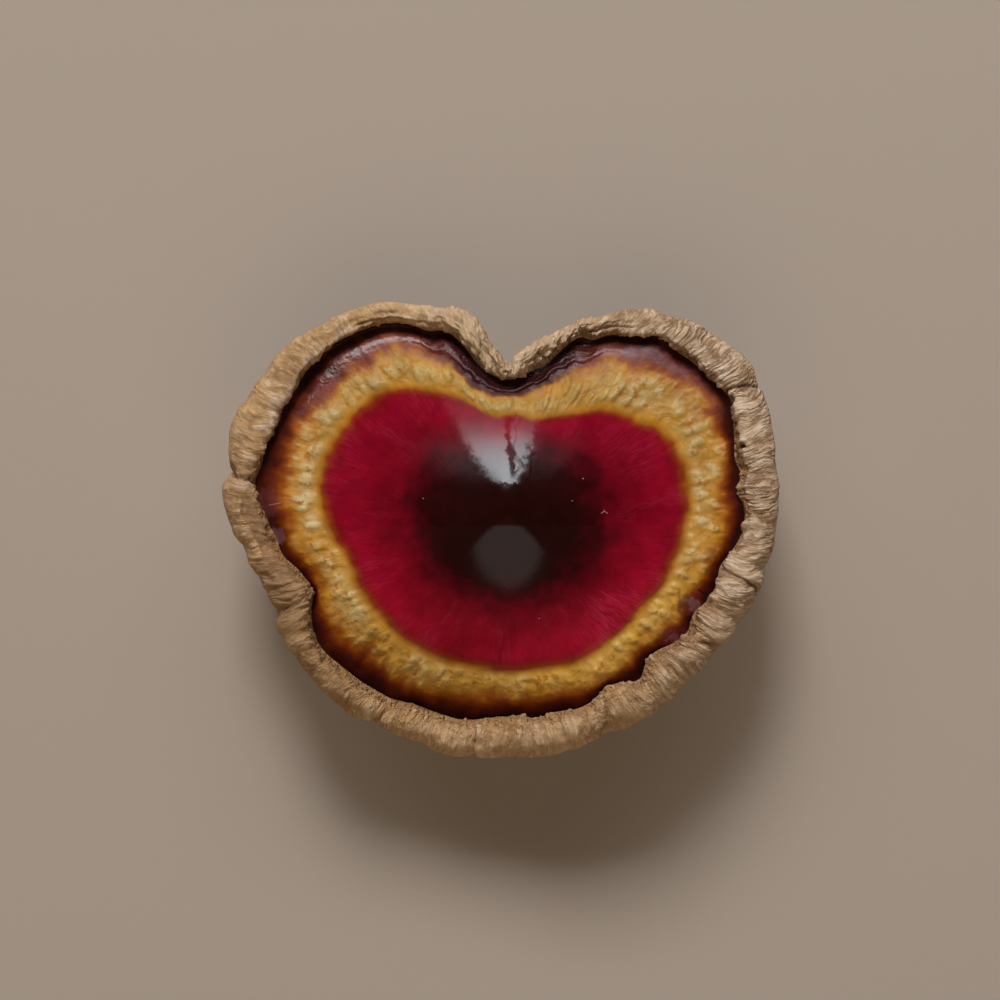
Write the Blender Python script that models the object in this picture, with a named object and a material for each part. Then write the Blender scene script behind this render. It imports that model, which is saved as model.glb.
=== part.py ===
"""A reishi mushroom: a kidney-shaped, lacquered cap with a thick rolled rim, standing on its short cut stem.

Sizes are in millimetres until the meshes are made. The origin is the middle of the stem's cut foot,
+Z is up, and the notch between the cap's two lobes points to +Y.
"""

import math

import bmesh
import bpy
import numpy as np
from mathutils import Vector, noise

MM = 0.001

# The cap seen from above: (degrees anticlockwise from +X, distance from the origin).
OUTER_EDGE = (
    (0, 68), (10, 69.8), (20, 72.2), (26, 73.5), (31, 74), (36, 74.5), (41, 73), (46, 71.5),
    (51, 69), (56, 67), (61, 63.5), (66, 59.5), (71, 55.5), (76, 51.5), (80, 49), (84, 46.5),
    (87, 44.5), (88.7, 42), (90.5, 44), (92.5, 46), (94.5, 47.5), (96, 51.5), (98, 54.5),
    (102, 57), (107, 58.6), (112, 60.9), (118, 65), (124, 66.7), (132, 69), (140, 71.5),
    (148, 72), (156, 73.5), (163, 73), (168.5, 71.5), (170, 72), (175, 71), (180, 68.5),
    (185, 66), (190, 64), (195, 62), (199, 61), (201.5, 62.8), (206, 62.5), (213, 61.5),
    (222, 60.4), (231, 60.5), (235.5, 59.8), (240, 59), (246, 58), (255, 58.5), (263, 58),
    (271, 57), (279, 57.5), (287, 57.5), (295, 57.5), (303, 58.5), (312, 60.3), (321, 59.7),
    (330, 61.9), (340, 64.7), (350, 66.3), (355, 67.5),
)
LIP_EDGE = (
    (0, 60), (6, 60.5), (9.5, 59.5), (13, 61), (17, 60.5), (21, 62), (25, 63.5), (30, 65.5),
    (36, 64.5), (41, 63.5), (46, 62.5), (50, 63), (54, 60.5), (58, 57.5), (62, 55.5),
    (65, 52.5), (69, 51.8), (73, 46.6), (76, 42.5), (81, 40.5), (85, 38.5), (89, 37.5), (93, 38.5),
    (97, 40), (100, 43), (103, 48), (107, 52.5), (111, 53.5), (115, 57), (120, 60),
    (126, 62), (135, 64), (142, 64), (147, 63.5), (151, 64), (155, 63.5), (160, 64),
    (165, 63.5), (170, 64), (174, 62), (178, 60), (182, 57.5), (187, 56), (190.5, 53),
    (194, 51.5), (198, 50.5), (202, 52.5), (206, 54), (211, 55), (220, 53.5), (230, 52),
    (236, 51), (242, 49.5), (249, 49), (257, 49), (264, 47.5), (274, 47), (280, 48),
    (285, 47.5), (293, 48.5), (298, 48), (303, 47), (307, 48), (312, 50.5), (317, 48.5),
    (321, 48.5), (326, 51), (331, 52.5), (337, 52), (341, 54), (346, 55), (351, 55), (355, 57.5),
)
# Height of the rolled rim's middle above the foot: the margin waves up and down as it goes round.
RIM_HEIGHT = (
    (0, 33), (25, 30), (48, 26), (66, 24.5), (80, 27), (89, 28.5), (98, 27), (113, 24),
    (132, 24.5), (150, 26.5), (165, 29), (182, 31), (200, 31.5), (213, 30.5), (230, 28),
    (246, 25.5), (262, 26), (280, 30), (300, 33.5), (316, 34), (330, 34),
)
NOTCH_ANGLE = 88.7
OUTER_REACH, LIP_REACH = 1.007, 0.993

# The rolled rim across its width: (share of the way from lip to outer edge, height from the rim's middle).
RIM_PROFILE = (
    (0.0, 1.4), (0.07, 3.1), (0.21, 4.4), (0.38, 5.0), (0.55, 5.0), (0.71, 4.3), (0.86, 2.9),
    (0.97, 1.0), (1.0, -1.1), (0.95, -3.1), (0.82, -4.7), (0.63, -5.6), (0.42, -5.9),
)
TUCK_UNDER_LIP = 0.9
MOAT_FLOOR = -0.6
# Cross creases in the rim: (degrees, depth, half width).
CREASES = (
    (14.5, 0.7, 1.6), (30.5, 1.2, 1.8), (43.5, 0.9, 1.6), (53.0, 0.8, 1.5), (67.0, 1.2, 1.7),
    (77.0, 0.9, 1.4), (88.7, 2.6, 1.5), (96.5, 1.3, 1.4), (131.0, 0.6, 1.6), (153.0, 0.7, 1.6),
    (168.8, 1.5, 1.5), (184.0, 0.7, 1.6), (191.5, 0.9, 1.7), (199.8, 1.7, 1.8), (206.0, 0.8, 1.4),
    (236.0, 1.2, 1.5), (248.5, 0.9, 1.5), (261.5, 1.1, 1.5), (297.0, 1.2, 1.6), (311.5, 1.0, 1.6),
    (330.5, 1.0, 1.6), (339.0, 0.8, 1.6), (352.0, 1.0, 1.7),
)
# Grooves that run along the rim: (from degrees, to degrees, share of the width, depth).
LEDGES = (
    (52, 84, 0.38, 1.0), (102, 134, 0.38, 0.8), (205, 256, 0.21, 0.7), (278, 292, 0.21, 0.6),
    (4, 20, 0.21, 0.6), (176, 190, 0.38, 0.5),
)
LUMP_LENGTH, LUMP_HEIGHT = 11.0, 0.75
WRINKLE_LENGTH, WRINKLE_HEIGHT = 4.6, 0.38

# The lacquered top: a gentle dome round its highest place, falling steeply to the side of the notch.
CROWN_HEIGHT, CROWN_CURVE, CROWN_PLACE = 42.0, 115.0, (0.5, 3.4)
STEEP_SLOPE, STEEP_ROUNDING, STEEP_HALF_ANGLE, STEEP_FADE = 0.37, 4.5, 28.0, 105.0
# The share of the way out from which the top is drawn to the margin's height, and over how much of the way.
DRAWN_FROM, DRAWN_OVER = 0.45, 0.65
LACQUER_SHARES = (0.1, 0.2, 0.3, 0.4, 0.5, 0.6, 0.7, 0.79, 0.87)
SHOULDER_DISTANCES = (3.6, 2.3, 1.1, 0.0)
SHOULDER_ABOVE_RIM = 1.1
GROOVE_DEPTH, GROOVE_WIDTH = 0.35, 2.4
PEBBLE_LENGTH, PEBBLE_HEIGHT = 6.0, 0.18

# The pore surface under the cap: shares of the rim profile's last radius.
UNDER_SHARES = (0.88, 0.74, 0.6, 0.47)
UNDER_HEIGHT = 20.5
UNDER_FLAT_RADIUS = 24.0

# The stem: (height, radius), and how far its top leans from its foot.
STEM_PROFILE = (
    (0.0, 15.0), (1.1, 15.6), (3.2, 15.2), (5.8, 14.1), (8.6, 13.3), (11.4, 13.3), (14.0, 14.1),
    (16.4, 15.6), (18.5, 17.6), (20.2, 20.0),
)
STEM_LEAN = (0.5, 3.8)
STEM_KNOB_LENGTH, STEM_KNOB_HEIGHT = 9.0, 0.9
STEM_SIDES = 40

RIM_STATIONS = 184
CURVE_STEPS = 1440

CAP_COLOUR = (0.19, 0.012, 0.012, 1.0)
STEM_COLOUR = (0.07, 0.018, 0.01, 1.0)


def smooth(share):
    """0 to 1 with soft ends."""
    share = np.clip(share, 0.0, 1.0)
    return share * share * (3.0 - 2.0 * share)


def curve_through(rows, at):
    """Values at `at` on a smooth curve through rows of (place, value)."""
    place, value = np.array(rows, float).T
    slope = np.gradient(value, place)
    i = np.clip(np.searchsorted(place, at, side="right") - 1, 0, len(place) - 2)
    span = place[i + 1] - place[i]
    s = (at - place[i]) / span
    return (
        value[i] * (1 + 2 * s) * (1 - s) ** 2
        + slope[i] * span * s * (1 - s) ** 2
        + value[i + 1] * s * s * (3 - 2 * s)
        + slope[i + 1] * span * s * s * (s - 1)
    )


def closed_curve(rows, degrees):
    """Values at angles on a smooth closed curve through rows of (degrees, value)."""
    before = [(angle - 360, value) for angle, value in rows[-3:]]
    after = [(angle + 360, value) for angle, value in rows[:3]]
    return curve_through([*before, *rows, *after], np.mod(degrees, 360.0))


def margin_reach(degrees):
    """Where the margin dips, it reaches a little further out."""
    return 1.0 + (33.0 - closed_curve(RIM_HEIGHT, degrees)) / 600.0


def outer_edge(degrees):
    return closed_curve(OUTER_EDGE, degrees) * margin_reach(degrees) * OUTER_REACH


def lip_edge(degrees):
    return closed_curve(LIP_EDGE, degrees) * margin_reach(degrees) * LIP_REACH


def rim_angles(count):
    """Angles, in degrees, spaced evenly along the rim's middle line, from the notch and round to it."""
    fine = NOTCH_ANGLE + np.linspace(0.0, 360.0, CURVE_STEPS + 1)
    middle = (outer_edge(fine) + lip_edge(fine)) / 2
    line = middle[:, None] * np.stack([np.cos(np.radians(fine)), np.sin(np.radians(fine))], axis=1)
    steps = np.linalg.norm(np.diff(line, axis=0), axis=1)
    travelled = np.concatenate([[0.0], np.cumsum(steps)])
    return np.interp(np.arange(count) / count * travelled[-1], travelled, fine)


def turn_between(angle, other):
    """Degrees from one angle to another, the short way."""
    return np.mod(angle - other + 180.0, 360.0) - 180.0


def lumps(x, y, z, length):
    """Smooth noise, about -1 to 1, with lumps of the given length."""
    return np.array([noise.noise(Vector(p) / length) for p in np.stack([x, y, z], axis=1)])


def rim_relief(angle, radius, share):
    """How far the rim's skin stands out or in, in millimetres, at a share of its width."""
    x = radius * np.cos(np.radians(angle))
    y = radius * np.sin(np.radians(angle))
    across = np.full_like(x, share * 6.0)
    out = LUMP_HEIGHT * lumps(x, y, across, LUMP_LENGTH)
    ridges = lumps(x, y, across * 0.4 + 50.0, WRINKLE_LENGTH)
    out += WRINKLE_HEIGHT * (2.6 * np.abs(ridges) - 0.6)
    for place, depth, width in CREASES:
        off = turn_between(angle, place) * math.pi / 180.0 * radius
        out -= depth * np.exp(-((off / width) ** 2))
    for start, end, groove, depth in LEDGES:
        middle, half = (start + end) / 2, (end - start) / 2
        along = smooth((half - np.abs(turn_between(angle, middle))) / 5.0)
        out -= depth * along * math.exp(-(((share - groove) / 0.12) ** 2))
    return out


def rim_rings(angle):
    """The rim's rings, from under its lip over the top and down to its belly."""
    lip = lip_edge(angle)
    outer = outer_edge(angle)
    middle_height = closed_curve(RIM_HEIGHT, angle)
    rings = [(lip + TUCK_UNDER_LIP, middle_height + MOAT_FLOOR)]
    for share, height in RIM_PROFILE:
        out_share = share - 0.5
        length = math.hypot(out_share, height / 10.0)
        relief = rim_relief(angle, (lip + outer) / 2, share)
        if height < 0.0:
            relief = relief * max(0.0, 1.0 + height / 7.0)
        radius = lip + (outer - lip) * share + relief * out_share / length
        rings.append((radius, middle_height + height + relief * height / 10.0 / length))
    return rings


def broad_edge(degrees):
    """The lip's distance with its small bumps averaged away."""
    steps = np.arange(-8, 9)
    weights = np.exp(-((steps / 4.0) ** 2))
    nearby = [w * lip_edge(degrees + 2.5 * step) for w, step in zip(weights, steps)]
    return sum(nearby) / weights.sum()


def crown_height(x, y):
    """Height of the crown at a point, the margin left aside: a gentle dome that is steeper towards the notch."""
    x, y = x - CROWN_PLACE[0], y - CROWN_PLACE[1]
    far = np.hypot(x, y)
    turned = np.abs(turn_between(np.degrees(np.arctan2(y, x)), 90.0))
    to_notch = smooth(1.0 - (turned - STEEP_HALF_ANGLE) / STEEP_FADE)
    steep = STEEP_SLOPE * (np.sqrt(far**2 + STEEP_ROUNDING**2) - STEEP_ROUNDING)
    gentle = far**2 / (2 * CROWN_CURVE)
    return CROWN_HEIGHT - gentle - (steep - gentle) * to_notch


def lacquer_height(angle, radius, lip):
    """Height of the lacquered top at a distance from the middle."""
    shoulder = closed_curve(RIM_HEIGHT, angle) + SHOULDER_ABOVE_RIM
    round_edge = broad_edge(angle)
    cos, sin = np.cos(np.radians(angle)), np.sin(np.radians(angle))
    share = radius / round_edge
    lift = shoulder - crown_height(round_edge * cos, round_edge * sin)
    height = crown_height(radius * cos, radius * sin) + lift * smooth((share - DRAWN_FROM) / DRAWN_OVER)
    moat_depth = SHOULDER_ABOVE_RIM - MOAT_FLOOR
    height -= moat_depth * (1.0 - smooth((lip - radius) / SHOULDER_DISTANCES[0]))
    beside_groove = turn_between(angle, NOTCH_ANGLE) * math.pi / 180.0 * radius / GROOVE_WIDTH
    height -= GROOVE_DEPTH * np.exp(-(beside_groove**2)) * smooth((share - 0.2) / 0.3)
    pebbled = smooth((share - 0.6) / 0.2) * smooth((0.97 - share) / 0.05)
    pebbles = lumps(radius * cos, radius * sin, np.zeros_like(radius), PEBBLE_LENGTH)
    return height + PEBBLE_HEIGHT * pebbled * pebbles


def lacquer_rings(angle, coarse):
    """The lacquered top's rings from the crown out: coarse ones, then fine ones on the shoulder and in the moat."""
    lip = lip_edge(coarse)
    round_edge = broad_edge(coarse)
    inner = []
    for share in LACQUER_SHARES:
        radius = share * (round_edge + (lip - round_edge) * share**2)
        inner.append((radius, lacquer_height(coarse, radius, lip)))
    lip = lip_edge(angle)
    shoulder = [
        (lip - gap, lacquer_height(angle, lip - gap, lip)) for gap in SHOULDER_DISTANCES
    ]
    return inner, shoulder


def under_rings(coarse):
    """The pore surface's rings, from the rim's belly in towards the stem."""
    lip = lip_edge(coarse)
    outer = outer_edge(coarse)
    share, height = RIM_PROFILE[-1]
    belly = lip + (outer - lip) * share
    belly_height = closed_curve(RIM_HEIGHT, coarse) + height
    rings = []
    for part in UNDER_SHARES:
        radius = belly * part
        out = smooth((radius - UNDER_FLAT_RADIUS) / (belly - UNDER_FLAT_RADIUS))
        rings.append((radius, UNDER_HEIGHT + (belly_height - UNDER_HEIGHT) * out))
    flat = np.full_like(belly, UNDER_FLAT_RADIUS * 0.6)
    rings.append((flat, np.full_like(belly, UNDER_HEIGHT)))
    return rings


def add_ring(bm, angle, radius, height):
    """Vertices of one ring, in metres."""
    x = radius * np.cos(np.radians(angle)) * MM
    y = radius * np.sin(np.radians(angle)) * MM
    z = height * MM
    return [bm.verts.new(point) for point in zip(x, y, z)]


def join_rings(bm, first, second):
    """Faces between two rings with the same count, or where one has twice as many points as the other."""
    if len(first) == len(second):
        for i in range(len(first)):
            bm.faces.new((first[i - 1], first[i], second[i], second[i - 1]))
        return
    fine, coarse = (first, second) if len(first) > len(second) else (second, first)
    for i in range(len(coarse)):
        left, middle, right = fine[2 * i - 2], fine[2 * i - 1], fine[2 * i]
        bm.faces.new((left, middle, coarse[i - 1]))
        bm.faces.new((middle, coarse[i], coarse[i - 1]))
        bm.faces.new((middle, right, coarse[i]))


def close_ring(bm, ring, x, y, height):
    """A fan of faces from a ring to one point."""
    pole = bm.verts.new((x * MM, y * MM, height * MM))
    for i in range(len(ring)):
        bm.faces.new((ring[i - 1], ring[i], pole))


def finished(bm, name, colour, roughness):
    """The object for a closed shell, with its own material and smooth shading."""
    bmesh.ops.recalc_face_normals(bm, faces=bm.faces)
    mesh = bpy.data.meshes.new(name)
    bm.to_mesh(mesh)
    bm.free()
    mesh.shade_smooth()
    mesh.set_sharp_from_angle(angle=math.radians(50))
    material = bpy.data.materials.new(name)
    material.use_nodes = True
    shader = material.node_tree.nodes["Principled BSDF"]
    shader.inputs["Base Color"].default_value = colour
    shader.inputs["Roughness"].default_value = roughness
    shader.inputs["Metallic"].default_value = 0.0
    mesh.materials.append(material)
    part = bpy.data.objects.new(name, mesh)
    bpy.context.scene.collection.objects.link(part)
    return part


def build_cap():
    angle = rim_angles(RIM_STATIONS)
    coarse = angle[::2]
    bm = bmesh.new()
    inner, shoulder = lacquer_rings(angle, coarse)
    rings = [add_ring(bm, coarse, *ring) for ring in inner]
    rings += [add_ring(bm, angle, *ring) for ring in shoulder]
    rings += [add_ring(bm, angle, *ring) for ring in rim_rings(angle)]
    rings += [add_ring(bm, coarse, *ring) for ring in under_rings(coarse)]
    for first, second in zip(rings, rings[1:]):
        join_rings(bm, first, second)
    close_ring(bm, rings[0], 0.0, 0.0, float(crown_height(0.0, 0.0)))
    close_ring(bm, rings[-1], 0.0, 0.0, UNDER_HEIGHT)
    return finished(bm, "cap", CAP_COLOUR, 0.25)


def build_stem():
    angle = np.arange(STEM_SIDES) * 360.0 / STEM_SIDES
    foot, top = STEM_PROFILE[0][0], STEM_PROFILE[-1][0]
    bm = bmesh.new()
    rings = []
    for height, radius in STEM_PROFILE:
        up = (height - foot) / (top - foot)
        x = radius * np.cos(np.radians(angle))
        y = radius * np.sin(np.radians(angle))
        knobs = STEM_KNOB_HEIGHT * lumps(x, y, np.full_like(x, height * 0.6 + 80.0), STEM_KNOB_LENGTH)
        swell = 1.0 + knobs / radius
        lean = float(smooth(up))
        ring = zip(
            (x * swell + STEM_LEAN[0] * lean) * MM,
            (y * swell + STEM_LEAN[1] * lean) * MM,
            np.full_like(x, height) * MM,
        )
        rings.append([bm.verts.new(point) for point in ring])
    for first, second in zip(rings, rings[1:]):
        join_rings(bm, first, second)
    close_ring(bm, rings[0], 0.0, 0.0, foot)
    close_ring(bm, rings[-1], *STEM_LEAN, top)
    return finished(bm, "stem", STEM_COLOUR, 0.4)


for leftover in list(bpy.data.objects):
    bpy.data.objects.remove(leftover, do_unlink=True)
build_cap()
build_stem()
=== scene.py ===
import math

import bmesh
import bpy
import numpy as np
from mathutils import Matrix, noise


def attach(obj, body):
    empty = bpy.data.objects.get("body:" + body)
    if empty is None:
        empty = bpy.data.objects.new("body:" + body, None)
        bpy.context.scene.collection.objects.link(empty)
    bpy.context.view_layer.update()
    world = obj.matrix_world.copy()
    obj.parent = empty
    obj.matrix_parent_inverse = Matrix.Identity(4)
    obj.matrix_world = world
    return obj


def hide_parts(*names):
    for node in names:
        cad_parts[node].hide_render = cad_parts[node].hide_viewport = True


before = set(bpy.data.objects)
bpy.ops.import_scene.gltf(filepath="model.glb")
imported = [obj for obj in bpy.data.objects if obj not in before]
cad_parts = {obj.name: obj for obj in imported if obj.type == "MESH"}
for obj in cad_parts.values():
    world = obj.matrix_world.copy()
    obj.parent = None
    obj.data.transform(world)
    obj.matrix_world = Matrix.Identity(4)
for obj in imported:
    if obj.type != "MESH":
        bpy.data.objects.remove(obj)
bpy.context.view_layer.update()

# A dried reishi seen from straight above: a lacquered, kidney-shaped cap with a thick rolled rim, on its cut stem.
# The outlines and heights are those of the solids, in millimetres; the meshes are in metres.
MM = 0.001

# Distance from the origin in each direction: (degrees anticlockwise from +X, millimetres).
OUTER_EDGE = (
    (0, 68), (10, 69.8), (20, 72.2), (26, 73.5), (31, 74), (36, 74.5), (41, 73), (46, 71.5),
    (51, 69), (56, 67), (61, 63.5), (66, 59.5), (71, 55.5), (76, 51.5), (80, 49), (84, 46.5),
    (87, 44.5), (88.7, 42), (90.5, 44), (92.5, 46), (94.5, 47.5), (96, 51.5), (98, 54.5),
    (102, 57), (107, 58.6), (112, 60.9), (118, 65), (124, 66.7), (132, 69), (140, 71.5),
    (148, 72), (156, 73.5), (163, 73), (168.5, 71.5), (170, 72), (175, 71), (180, 68.5),
    (185, 66), (190, 64), (195, 62), (199, 61.3), (201.5, 62.1), (206, 62.3), (213, 61.5),
    (222, 60.4), (231, 60.5), (235.5, 59.8), (240, 59), (246, 58), (255, 58.5), (263, 58),
    (271, 57), (279, 57.5), (287, 57.5), (295, 57.5), (303, 58.5), (312, 60.3), (321, 59.7),
    (330, 61.9), (340, 64.7), (350, 66.3), (355, 67.5),
)
LIP_EDGE = (
    (0, 60), (6, 60.5), (9.5, 59.5), (13, 61), (17, 60.5), (21, 62), (25, 63.5), (30, 65.5),
    (36, 64.5), (41, 63.5), (46, 62.5), (50, 63), (54, 60.5), (58, 57.5), (62, 55.5),
    (65, 52.5), (69, 51.8), (73, 46.6), (76, 42.5), (81, 40.5), (85, 38.5), (89, 37.5), (93, 38.5),
    (97, 40), (100, 43), (103, 48), (107, 52.5), (111, 53.5), (115, 57), (120, 60),
    (126, 62), (135, 64), (142, 64), (147, 63.5), (151, 64), (155, 63.5), (160, 64),
    (165, 63.5), (170, 64), (174, 62), (178, 60), (182, 57.5), (187, 56), (190.5, 53),
    (194, 51.5), (198, 50.5), (202, 52.5), (206, 54), (211, 55), (220, 53.5), (230, 52),
    (236, 51), (242, 49.5), (249, 49), (257, 49), (264, 47.5), (274, 47), (280, 48),
    (285, 47.5), (293, 48.5), (298, 48), (303, 47), (307, 48), (312, 50.5), (317, 48.5),
    (321, 48.5), (326, 51), (331, 52.5), (337, 52), (341, 54), (346, 55), (351, 55), (355, 57.5),
)
# Where the lacquer changes colour: dark crown to red, red to gold, gold to brown.
DARK_EDGE = (
    (0, 25.8), (15, 26.3), (30, 27.8), (45, 26.5), (65, 24), (97, 21.5), (135, 26.0), (165, 25.3),
    (180, 23.2), (195, 22.2), (210, 21.5), (225, 20.2), (240, 18.2), (262, 17.7), (285, 18.2),
    (300, 19.7), (315, 21.5), (330, 23.2), (345, 24.7),
)
RED_EDGE = (
    (0, 44.9), (10, 47), (20, 47.7), (30, 47), (40, 42.9), (50, 39.1), (60, 33.1), (70, 29.8),
    (75, 28.5), (85, 29.3), (95, 28.8), (100, 30.3), (110, 35.4), (120, 40.7), (130, 45.5),
    (140, 47.7), (150, 48.5), (160, 48.7), (170, 47.2), (180, 43.9), (190, 39.9), (200, 39.1),
    (210, 38.1), (225, 37.2), (240, 36.4), (250, 35.6), (260, 35.1), (270, 35.6), (280, 35.6),
    (290, 36.6), (300, 37.9), (310, 38.1), (320, 38.9), (330, 39.4), (340, 41.7), (350, 42.9),
)
GOLD_EDGE = (
    (0, 55.3), (5, 55), (10, 55.5), (15, 57.6), (20, 59.3), (25, 59.1), (30, 58.3), (35, 58.8),
    (40, 57.6), (45, 55), (50, 52.3), (60, 49.2), (65, 44.2), (70, 39.9), (75, 37.4), (80, 35.3),
    (85, 34.1), (90, 34.1), (95, 34.3), (100, 35.6), (105, 39.1), (108, 44.2), (112, 47),
    (120, 53.5), (130, 54.5), (140, 55.8), (150, 57.1), (155, 57.3), (165, 56.3), (175, 55.3),
    (180, 54.5), (185, 53), (190, 50.2), (195, 49.2), (202, 50), (210, 48.5), (215, 47),
    (225, 46), (230, 46.5), (240, 45.7), (250, 43.7), (255, 42.9), (265, 42.4), (270, 42.2),
    (280, 42.9), (290, 44.2), (295, 45.2), (310, 45.5), (325, 46), (330, 48.5), (335, 49.7),
    (345, 50.5), (350, 52.3), (355, 54.3),
)
# Height of the rolled rim's middle above the foot.
RIM_HEIGHT = (
    (0, 33), (25, 30), (48, 26), (66, 24.5), (80, 27), (89, 28.5), (98, 27), (113, 24),
    (132, 24.5), (150, 26.5), (165, 29), (182, 31), (200, 31.5), (213, 30.5), (230, 28),
    (246, 25.5), (262, 26), (280, 30), (300, 33.5), (316, 34), (330, 34),
)
NOTCH_ANGLE = 88.7
OUTER_REACH, LIP_REACH = 1.007, 0.993

# The rolled rim across its width: (share of the way from lip to outer edge, height from the rim's middle).
RIM_PROFILE = (
    (0.0, 1.4), (0.07, 3.1), (0.21, 4.4), (0.38, 5.0), (0.55, 5.0), (0.71, 4.3), (0.86, 2.9),
    (0.97, 1.0), (1.0, -1.1), (0.95, -3.1), (0.82, -4.7), (0.63, -5.6), (0.42, -5.9),
)
TUCK_UNDER_LIP = 0.9
MOAT_FLOOR = -0.6
# Cross creases in the rim: (degrees, depth, half width).
CREASES = (
    (14.5, 0.7, 1.6), (30.5, 1.2, 1.8), (43.5, 0.9, 1.6), (53.0, 0.8, 1.5), (67.0, 1.2, 1.7),
    (77.0, 0.9, 1.4), (88.7, 0.9, 1.5), (96.5, 0.8, 1.4), (131.0, 0.6, 1.6), (153.0, 0.7, 1.6),
    (168.8, 1.5, 1.5), (184.0, 0.7, 1.6), (191.5, 0.9, 1.7), (199.8, 0.8, 1.8), (206.0, 0.8, 1.4),
    (236.0, 1.2, 1.5), (248.5, 0.9, 1.5), (261.5, 1.1, 1.5), (297.0, 1.2, 1.6), (311.5, 1.0, 1.6),
    (330.5, 1.0, 1.6), (339.0, 0.8, 1.6), (352.0, 1.0, 1.7),
)
# Grooves that run along the rim: (from degrees, to degrees, share of the width, depth).
LEDGES = (
    (52, 84, 0.38, 1.0), (102, 134, 0.38, 0.8), (205, 256, 0.21, 0.7), (278, 292, 0.21, 0.6),
    (4, 20, 0.21, 0.6), (176, 190, 0.38, 0.5),
)
LUMP_LENGTH, LUMP_HEIGHT = 11.0, 0.75
WRINKLE_LENGTH, WRINKLE_HEIGHT = 4.6, 0.38

# The lacquered top: a gentle dome round its highest place, falling steeply to the side of the notch.
CROWN_HEIGHT, CROWN_CURVE, CROWN_PLACE = 42.0, 115.0, (0.5, 3.4)
STEEP_SLOPE, STEEP_ROUNDING, STEEP_HALF_ANGLE, STEEP_FADE = 0.37, 4.5, 28.0, 105.0
# The share of the way out from which the top is drawn to the margin's height, and over how much of the way.
DRAWN_FROM, DRAWN_OVER = 0.45, 0.65
SHOULDER_ABOVE_RIM, SHOULDER_WIDTH = 1.1, 3.6
GROOVE_DEPTH, GROOVE_WIDTH = 0.25, 1.5
UNDER_HEIGHT, UNDER_FLAT_RADIUS = 20.5, 24.0

STEM_PROFILE = (
    (0.0, 15.0), (1.1, 15.6), (3.2, 15.2), (5.8, 14.1), (8.6, 13.3), (11.4, 13.3), (14.0, 14.1),
    (16.4, 15.6), (18.5, 17.6), (20.2, 20.0),
)
STEM_LEAN = (0.5, 3.8)
STEM_KNOB_LENGTH, STEM_KNOB_HEIGHT = 9.0, 0.9

# The cap's cage: columns round the rim, and rings from the crown out, over the rim and back underneath.
COLUMNS = 256
LACQUER_SHARES = (0.03, 0.18, 0.36, 0.56, 0.75, 0.89)
SHOULDER_GAPS = (2.3, 0.4)
UNDER_SHARES = (0.8, 0.45, 0.1)
STRIP_RADIUS = 70.0

# How strongly the rim is folded across, and how crumbly its lip is: (degrees, strength).
FOLD_STRENGTH = (
    (0, 1.15), (35, 1.1), (55, 0.85), (75, 0.8), (89, 0.9), (105, 0.6), (130, 0.6), (150, 0.9),
    (180, 1.0), (195, 1.3), (210, 1.1), (235, 0.8), (265, 0.75), (290, 0.7), (310, 1.0), (330, 1.25),
)
CRUMB_STRENGTH = (
    (0, 0.6), (20, 1.0), (50, 0.8), (90, 0.8), (130, 0.5), (160, 0.5), (185, 0.7), (210, 0.8),
    (240, 1.3), (300, 1.4), (335, 0.9),
)
# Sharp cracks across the rim, with one side standing above the other: (degrees, depth, half width, step, slant).
CRACKS = (
    (168.8, 0.9, 0.45, 0.35, 0.1), (199.8, 0.4, 0.55, 0.2, -0.25), (236.0, 0.9, 0.4, -0.3, 0.15),
    (262.0, 0.7, 0.35, 0.25, -0.1), (88.7, 0.5, 0.6, 0.15, 0.0), (96.5, 0.6, 0.45, 0.2, 0.4),
    (79.5, 0.5, 0.4, 0.2, -0.5), (31.0, 0.7, 0.4, 0.3, 0.3), (297.5, 0.5, 0.4, -0.2, 0.5),
    (331.0, 0.6, 0.4, 0.3, -0.3), (348.0, 0.6, 0.45, 0.3, 0.35),
)
# Layers of the lip: (from degrees, to degrees, millimetres across from the lip, step).
LAYERS = (
    (55, 84, 7.0, 0.55), (62, 78, 4.6, 0.5), (99, 128, 6.6, 0.5), (120, 150, 4.6, 0.35), (30, 52, 5.0, 0.35),
    (172, 196, 8.5, 0.5), (206, 258, 4.8, 0.5), (262, 300, 4.4, 0.45), (318, 338, 4.6, 0.35), (2, 26, 4.8, 0.4),
)
# How much of the gutter inside the lip is left open: (degrees, share).
GUTTER = (
    (0, 0.4), (40, 0.45), (62, 0.7), (80, 0.9), (100, 1.0), (130, 1.0), (160, 0.75), (185, 0.5),
    (220, 0.4), (270, 0.35), (320, 0.35),
)
# Knobs on the rim: (x, y, size, height, depth of the pit in the middle).
KNOBS = (
    (59.6, 21.3, 2.0, 0.9, 2.0), (-54.2, -12.0, 2.6, 0.9, 0.0), (-52.0, -16.8, 2.2, 0.8, 0.0), (43.5, -27.5, 2.2, 0.5, 0.0),
    (-58.6, 24.0, 2.4, 0.5, 0.0),
)


def smooth(share):
    """0 to 1 with soft ends."""
    share = np.clip(share, 0.0, 1.0)
    return share * share * (3.0 - 2.0 * share)


def curve_through(rows, at):
    """Values at `at` on a smooth curve through rows of (place, value)."""
    place, value = np.array(rows, float).T
    slope = np.gradient(value, place)
    i = np.clip(np.searchsorted(place, at, side="right") - 1, 0, len(place) - 2)
    span = place[i + 1] - place[i]
    s = (at - place[i]) / span
    return (
        value[i] * (1 + 2 * s) * (1 - s) ** 2
        + slope[i] * span * s * (1 - s) ** 2
        + value[i + 1] * s * s * (3 - 2 * s)
        + slope[i + 1] * span * s * s * (s - 1)
    )


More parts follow.
